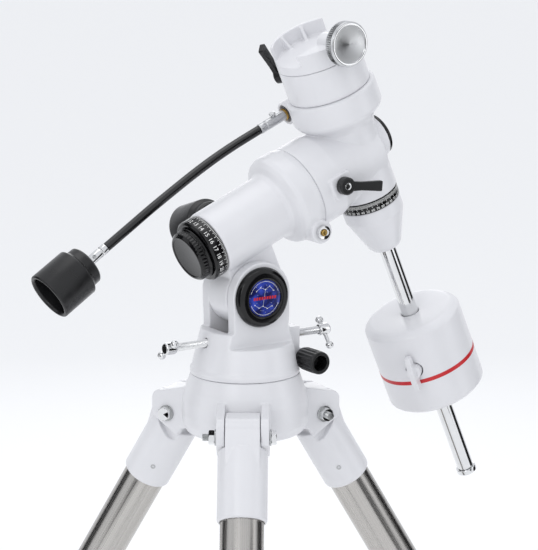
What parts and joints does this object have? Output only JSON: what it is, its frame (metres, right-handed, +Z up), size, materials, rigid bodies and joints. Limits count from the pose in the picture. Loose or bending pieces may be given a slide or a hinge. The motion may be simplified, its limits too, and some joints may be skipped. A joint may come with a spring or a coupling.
{
  "type": "german equatorial telescope mount",
  "caption": "White equatorial telescope mount on a folding steel tripod, with a dovetail saddle, counterweight, clutch levers, setting circles and slow-motion knobs.",
  "frame": {"origin": "on the floor, under the azimuth axis", "axes": "+Z up along the azimuth axis; +X north, the way the polar axis climbs; +Y west"},
  "size_m": [0.7926, 0.8724, 1.0819],
  "materials": {
    "white_paint": "white gloss paint on cast aluminium",
    "black_plastic": "black, lightly glossy",
    "brushed_steel": "brushed stainless steel",
    "brass": "plain brass",
    "chrome": "bright plated",
    "rubber": "matt black sheath",
    "aluminium": "turned and clear anodised"
  },
  "bodies": {
    "tripod_head": {"tripod_head": "white_paint", "centre_bolt": "black_plastic", "leg_bolt_1": "brushed_steel", "leg_bolt_2": "brushed_steel", "leg_bolt_3": "brushed_steel"},
    "leg_1": {"leg_socket_1": "white_paint", "leg_tube_1": "brushed_steel"},
    "leg_collar_1": {"leg_collar_1": "black_plastic"},
    "leg_inner_1": {"leg_inner_1": "brushed_steel"},
    "leg_2": {"leg_socket_2": "white_paint", "leg_tube_2": "brushed_steel"},
    "leg_collar_2": {"leg_collar_2": "black_plastic"},
    "leg_inner_2": {"leg_inner_2": "brushed_steel"},
    "leg_3": {"leg_socket_3": "white_paint", "leg_tube_3": "brushed_steel"},
    "leg_collar_3": {"leg_collar_3": "black_plastic"},
    "leg_inner_3": {"leg_inner_3": "brushed_steel"},
    "fork": {"mount_base": "white_paint", "altitude_axle": "brushed_steel", "altitude_cap": "black_plastic"},
    "azimuth_pad_east": {"azimuth_pad_east": "brass"},
    "azimuth_knob_east": {"azimuth_knob_east": "black_plastic"},
    "azimuth_pad_west": {"azimuth_pad_west": "brass"},
    "azimuth_knob_west": {"azimuth_knob_west": "black_plastic"},
    "ra_housing": {"ra_housing": "white_paint", "ra_worm_nut": "brass", "ra_cable": "rubber", "polar_bush": "brass"},
    "thrust_pad_south": {"thrust_pad_south": "brass"},
    "altitude_bolt_south": {"altitude_bolt_south": "chrome"},
    "altitude_bar_south": {"altitude_bar_south": "chrome"},
    "thrust_pad_north": {"thrust_pad_north": "brass"},
    "altitude_bolt_north": {"altitude_bolt_north": "chrome"},
    "altitude_bar_north": {"altitude_bar_north": "chrome"},
    "ra_worm": {"ra_worm": "brushed_steel"},
    "ra_wheel": {"ra_wheel": "brass"},
    "ra_cable_knob": {"ra_cable_knob": "black_plastic"},
    "ra_axis": {"dec_body": "white_paint", "polar_shaft": "brushed_steel", "dec_cable": "rubber", "dec_bush": "brass"},
    "hour_circle": {"hour_circle": "black_plastic"},
    "polar_cap": {"polar_cap": "black_plastic"},
    "front_cap": {"front_cap": "black_plastic"},
    "ra_clutch": {"ra_clutch": "black_plastic"},
    "dec_worm": {"dec_worm": "brushed_steel"},
    "dec_wheel": {"dec_wheel": "brass"},
    "dec_cable_knob": {"dec_cable_knob": "black_plastic"},
    "dec_axis": {"dec_shaft": "brushed_steel", "saddle_base": "white_paint", "saddle": "white_paint", "shaft_cone": "white_paint", "counterweight_bar": "chrome", "bar_end_stop": "chrome"},
    "dec_circle": {"dec_circle": "black_plastic"},
    "dec_clutch": {"dec_clutch": "black_plastic"},
    "clamp_pad": {"clamp_pad": "brass"},
    "clamp_knob": {"clamp_knob": "aluminium"},
    "counterweight": {"counterweight": "white_paint"},
    "counterweight_knob": {"counterweight_knob": "white_paint"}
  },
  "joints": [
    {"name": "leg_fold_1", "type": "hinge", "parent": "tripod_head", "child": "leg_1", "pos_m": [0.07926, -0.00624, 0.6685], "axis": [0.0785, 0.9969, 0], "range_deg": [0, 25]},
    {"name": "leg_collar_twist_1", "type": "hinge", "parent": "leg_1", "child": "leg_collar_1", "pos_m": [0.40695, -0.03203, 0.12636], "axis": [-0.5209, 0.041, 0.8526], "range_deg": [0, 90]},
    {"name": "leg_extend_1", "type": "slide", "parent": "leg_1", "child": "leg_inner_1", "axis": [0.5209, -0.041, -0.8526], "range_m": [-0.06, 0.15]},
    {"name": "leg_fold_2", "type": "hinge", "parent": "tripod_head", "child": "leg_2", "pos_m": [-0.03423, 0.07176, 0.6685], "axis": [-0.9026, -0.4305, 0], "range_deg": [0, 25]},
    {"name": "leg_collar_twist_2", "type": "hinge", "parent": "leg_2", "child": "leg_collar_2", "pos_m": [-0.17574, 0.36844, 0.12636], "axis": [0.2249, -0.4716, 0.8526], "range_deg": [0, 90]},
    {"name": "leg_extend_2", "type": "slide", "parent": "leg_2", "child": "leg_inner_2", "axis": [-0.2249, 0.4716, -0.8526], "range_m": [-0.06, 0.15]},
    {"name": "leg_fold_3", "type": "hinge", "parent": "tripod_head", "child": "leg_3", "pos_m": [-0.04503, -0.06552, 0.6685], "axis": [0.8241, -0.5664, 0], "range_deg": [0, 25]},
    {"name": "leg_collar_twist_3", "type": "hinge", "parent": "leg_3", "child": "leg_collar_3", "pos_m": [-0.23121, -0.33641, 0.12636], "axis": [0.2959, 0.4306, 0.8526], "range_deg": [0, 90]},
    {"name": "leg_extend_3", "type": "slide", "parent": "leg_3", "child": "leg_inner_3", "axis": [-0.2959, -0.4306, -0.8526], "range_m": [-0.06, 0.15]},
    {"name": "azimuth_turn", "type": "hinge", "parent": "tripod_head", "child": "fork", "pos_m": [0, 0, 0.718], "axis": [0, 0, 1], "range_deg": [-5, 5]},
    {"name": "azimuth_pad_slide_east", "type": "slide", "parent": "fork", "child": "azimuth_pad_east", "axis": [0, 1, 0], "range_m": [-0.005, 0.005]},
    {"name": "azimuth_knob_turn_east", "type": "hinge", "parent": "azimuth_pad_east", "child": "azimuth_knob_east", "pos_m": [0.054, 0, 0.731], "axis": [0, -1, 0], "range_deg": [-1400, 1400]},
    {"name": "azimuth_pad_slide_west", "type": "slide", "parent": "fork", "child": "azimuth_pad_west", "axis": [0, 1, 0], "range_m": [-0.005, 0.005]},
    {"name": "azimuth_knob_turn_west", "type": "hinge", "parent": "azimuth_pad_west", "child": "azimuth_knob_west", "pos_m": [0.054, 0, 0.731], "axis": [0, 1, 0], "range_deg": [-1400, 1400]},
    {"name": "altitude_tilt", "type": "hinge", "parent": "fork", "child": "ra_housing", "pos_m": [0, 0, 0.802], "axis": [0, -1, 0], "range_deg": [-8, 27]},
    {"name": "thrust_pad_slide_south", "type": "slide", "parent": "fork", "child": "thrust_pad_south", "axis": [1, 0, 0], "range_m": [-0.0075, 0.0235]},
    {"name": "altitude_bolt_turn_south", "type": "hinge", "parent": "thrust_pad_south", "child": "altitude_bolt_south", "pos_m": [0, 0, 0.754], "axis": [-1, 0, 0], "range_deg": [-5500, 1700]},
    {"name": "altitude_bar_slide_south", "type": "slide", "parent": "altitude_bolt_south", "child": "altitude_bar_south", "axis": [0, -0.8336, 0.5524], "range_m": [0, 0.019]},
    {"name": "thrust_pad_slide_north", "type": "slide", "parent": "fork", "child": "thrust_pad_north", "axis": [1, 0, 0], "range_m": [-0.0075, 0.0235]},
    {"name": "altitude_bolt_turn_north", "type": "hinge", "parent": "thrust_pad_north", "child": "altitude_bolt_north", "pos_m": [0, 0, 0.75], "axis": [1, 0, 0], "range_deg": [-1700, 5500]},
    {"name": "altitude_bar_slide_north", "type": "slide", "parent": "altitude_bolt_north", "child": "altitude_bar_north", "axis": [0, 0.6392, 0.769], "range_m": [0, 0.019]},
    {"name": "ra_worm_turn", "type": "hinge", "parent": "ra_housing", "child": "ra_worm", "pos_m": [0.06633, 0, 0.86455], "axis": [0, 1, 0], "continuous": true},
    {"name": "ra_wheel_turn", "type": "hinge", "parent": "ra_housing", "child": "ra_wheel", "pos_m": [0.1358, 0, 0.9325], "axis": [0.9205, 0, 0.3907], "continuous": true},
    {"name": "ra_cable_knob_turn", "type": "hinge", "parent": "ra_housing", "child": "ra_cable_knob", "pos_m": [0.0663, 0.138, 0.8524], "axis": [0, 0.9487, -0.3162], "continuous": true},
    {"name": "ra_axis_turn", "type": "hinge", "parent": "ra_wheel", "child": "ra_axis", "pos_m": [0.1358, 0, 0.9325], "axis": [0.9205, 0, 0.3907], "range_deg": [-70, 120]},
    {"name": "hour_circle_turn", "type": "hinge", "parent": "ra_housing", "child": "hour_circle", "pos_m": [-0.0437, 0, 0.85631], "axis": [0.9205, 0, 0.3907], "continuous": true},
    {"name": "polar_cap_pull", "type": "slide", "parent": "ra_housing", "child": "polar_cap", "axis": [-0.9205, 0, -0.3907], "range_m": [0, 0.06]},
    {"name": "front_cap_pull", "type": "slide", "parent": "ra_axis", "child": "front_cap", "axis": [0.9205, 0, 0.3907], "range_m": [0, 0.04]},
    {"name": "ra_clutch_turn", "type": "hinge", "parent": "ra_axis", "child": "ra_clutch", "pos_m": [0.08925, -0.0488, 0.91165], "axis": [0, -1, 0], "range_deg": [-20, 45]},
    {"name": "dec_worm_turn", "type": "hinge", "parent": "ra_axis", "child": "dec_worm", "pos_m": [0.11138, 0.04, 0.99003], "axis": [-0.9205, 0, -0.3907], "continuous": true},
    {"name": "dec_wheel_turn", "type": "hinge", "parent": "ra_axis", "child": "dec_wheel", "pos_m": [0.1358, 0, 0.9325], "axis": [-0.3907, 0, 0.9205], "continuous": true},
    {"name": "dec_cable_knob_turn", "type": "hinge", "parent": "ra_axis", "child": "dec_cable_knob", "pos_m": [-0.1405, 0.04, 0.8576], "axis": [-0.8419, 0, -0.5396], "continuous": true},
    {"name": "dec_axis_turn", "type": "hinge", "parent": "dec_wheel", "child": "dec_axis", "pos_m": [0.1358, 0, 0.9325], "axis": [-0.3907, 0, 0.9205], "continuous": true},
    {"name": "dec_circle_turn", "type": "hinge", "parent": "ra_axis", "child": "dec_circle", "pos_m": [0.15299, 0, 0.892], "axis": [-0.3907, 0, 0.9205], "continuous": true},
    {"name": "dec_clutch_turn", "type": "hinge", "parent": "dec_axis", "child": "dec_clutch", "pos_m": [0.07197, 0.036, 1.01839], "axis": [-0.528, 0.8192, -0.2241], "range_deg": [-20, 45]},
    {"name": "clamp_pad_slide", "type": "slide", "parent": "dec_axis", "child": "clamp_pad", "axis": [0.0321, -0.9994, 0.0136], "range_m": [0, 0.006]},
    {"name": "clamp_knob_turn", "type": "hinge", "parent": "clamp_pad", "child": "clamp_knob", "pos_m": [0.08266, 0, 1.05769], "axis": [0.0321, -0.9994, 0.0136], "range_deg": [0, 1440]},
    {"name": "counterweight_slide", "type": "slide", "parent": "dec_axis", "child": "counterweight", "axis": [0.3907, 0, -0.9205], "range_m": [-0.075, 0.082]},
    {"name": "counterweight_knob_turn", "type": "hinge", "parent": "counterweight", "child": "counterweight_knob", "pos_m": [0.22801, 0, 0.71526], "axis": [-0.6841, -0.6691, -0.2904], "range_deg": [0, 720]}
  ],
  "couplings": [
    {"joint": "azimuth_pad_slide_east", "follows": "azimuth_turn", "m_per_rad": -0.054},
    {"joint": "azimuth_knob_turn_east", "follows": "azimuth_turn", "ratio": 271.43},
    {"joint": "azimuth_pad_slide_west", "follows": "azimuth_turn", "m_per_rad": -0.054},
    {"joint": "azimuth_knob_turn_west", "follows": "azimuth_turn", "ratio": -271.43},
    {"joint": "thrust_pad_slide_south", "follows": "altitude_tilt", "m_per_rad": 0.047},
    {"joint": "altitude_bolt_turn_south", "follows": "altitude_tilt", "ratio": -196.87},
    {"joint": "thrust_pad_slide_north", "follows": "altitude_tilt", "m_per_rad": 0.048},
    {"joint": "altitude_bolt_turn_north", "follows": "altitude_tilt", "ratio": 201.06},
    {"joint": "ra_wheel_turn", "follows": "ra_worm_turn", "ratio": -0.027778},
    {"joint": "ra_cable_knob_turn", "follows": "ra_worm_turn", "ratio": 1},
    {"joint": "dec_wheel_turn", "follows": "dec_worm_turn", "ratio": -0.027778},
    {"joint": "dec_cable_knob_turn", "follows": "dec_worm_turn", "ratio": 1},
    {"joint": "clamp_pad_slide", "follows": "clamp_knob_turn", "m_per_rad": 0.00023873}
  ]
}
